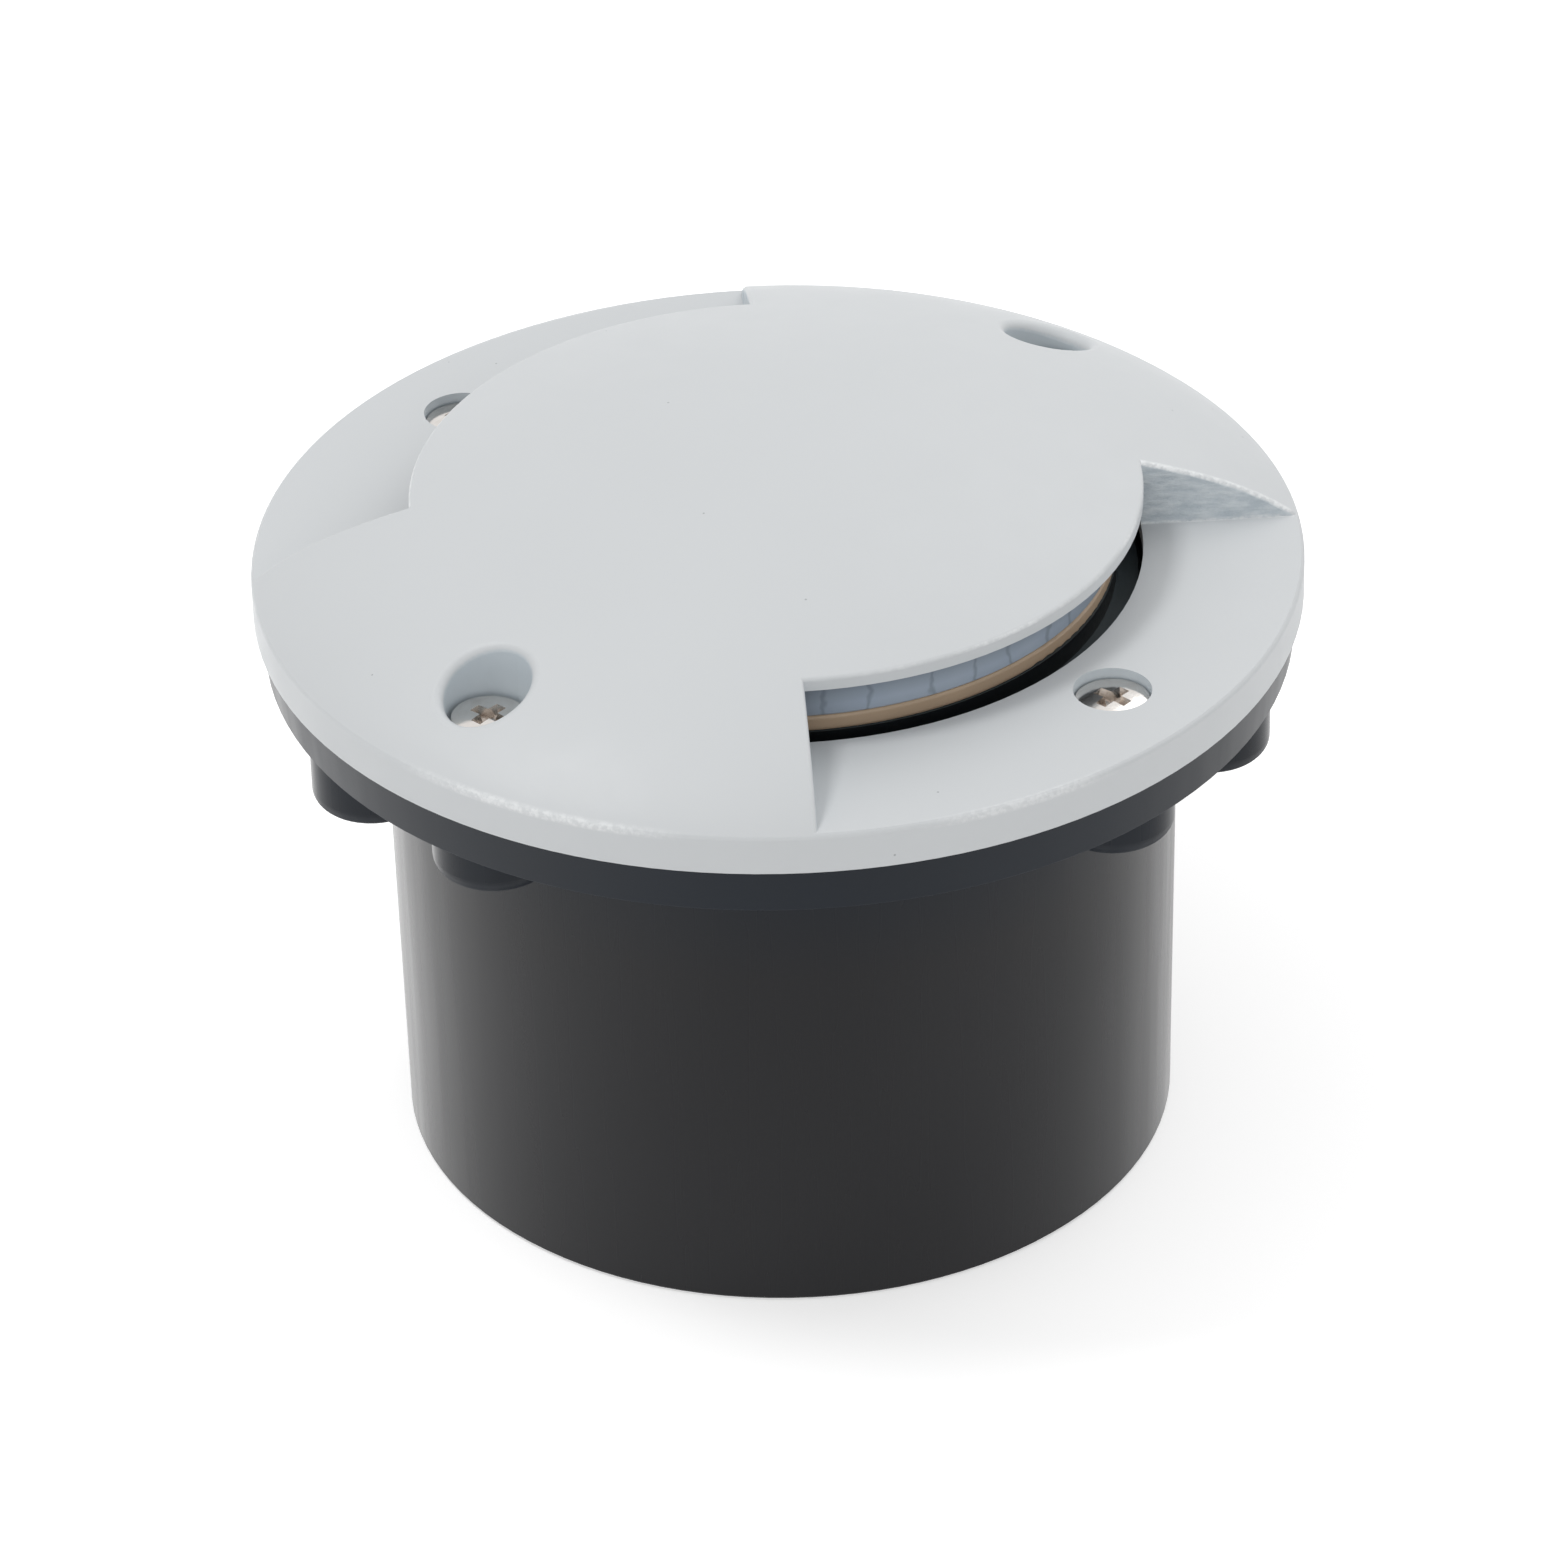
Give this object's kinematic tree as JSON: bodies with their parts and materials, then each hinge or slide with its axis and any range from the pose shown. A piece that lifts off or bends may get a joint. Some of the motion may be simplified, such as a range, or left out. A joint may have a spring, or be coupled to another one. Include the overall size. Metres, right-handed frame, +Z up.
{
  "type": "in ground well light",
  "caption": "Round in ground well light: domed cover with opposite side windows, screwed to a flanged plastic sleeve that holds a sealed lamp unit.",
  "frame": {"origin": "centre of the mounting sleeve's foot, on its axis, where the light rests", "axes": "+Z up along the axis; the two light windows face -Y and +Y, the two deep screw pockets lie on -X and +X"},
  "size_m": [0.15, 0.15, 0.1101],
  "materials": {
    "cover_paint": "satin light grey powder coat on a die casting",
    "stainless": "bright stainless steel",
    "sleeve_plastic": "charcoal moulded plastic, satin",
    "brass": "machined brass",
    "black_rubber": "black rubber",
    "black_casting": "black coated die casting",
    "clear_glass": "clear tempered glass",
    "tan_silicone": "tan silicone",
    "black_ring": "black coated ring",
    "reflector_metal": "faceted bright reflector",
    "board_white": "white coating on an aluminium board",
    "emitter_ceramic": "white ceramic",
    "phosphor": "yellow phosphor in silicone",
    "grey_pad": "grey thermal pad",
    "lead_red": "red insulated wire",
    "lead_black": "black insulated wire",
    "board_green": "green circuit board",
    "transformer_tape": "yellow tape over a core",
    "capacitor_sleeve": "dark shrink sleeve",
    "terminal_plastic": "green plastic",
    "gland_plastic": "black nylon"
  },
  "bodies": {
    "sleeve": {"mounting_sleeve": "sleeve_plastic", "cover_screw_inserts": "brass", "module_screw_inserts": "brass", "flange_gasket": "black_rubber"},
    "module": {"lamp_body": "black_casting", "module_screws": "stainless", "lens": "clear_glass", "lens_gasket": "tan_silicone", "lens_ring": "black_ring", "ring_seal": "black_rubber", "lens_ring_screws": "stainless", "reflector": "reflector_metal", "led_board": "board_white", "led_emitter": "emitter_ceramic", "led_phosphor": "phosphor", "led_board_screws": "stainless", "thermal_pad": "grey_pad", "wire_grommet": "black_rubber", "led_lead_positive": "lead_red", "led_lead_negative": "lead_black", "driver_board": "board_green", "driver_screws": "stainless", "driver_transformer": "transformer_tape", "driver_capacitors": "capacitor_sleeve", "terminal_block": "terminal_plastic", "terminal_screws": "stainless", "base_cap": "black_casting", "base_seal": "black_rubber", "base_cap_screws": "stainless", "gland_body": "gland_plastic", "gland_washer": "black_rubber", "gland_seal": "black_rubber", "gland_nut": "gland_plastic"},
    "cover": {"cover": "cover_paint"},
    "cover_screws": {"cover_screws": "stainless"}
  },
  "joints": [
    {"name": "module_out", "type": "slide", "parent": "sleeve", "child": "module", "axis": [0, 0, 1], "range_m": [0, 0.09]},
    {"name": "cover_off", "type": "slide", "parent": "module", "child": "cover", "axis": [0, 0, 1], "range_m": [0, 0.05]},
    {"name": "cover_screws_out", "type": "slide", "parent": "cover", "child": "cover_screws", "axis": [0, 0, 1], "range_m": [0, 0.02]}
  ]
}
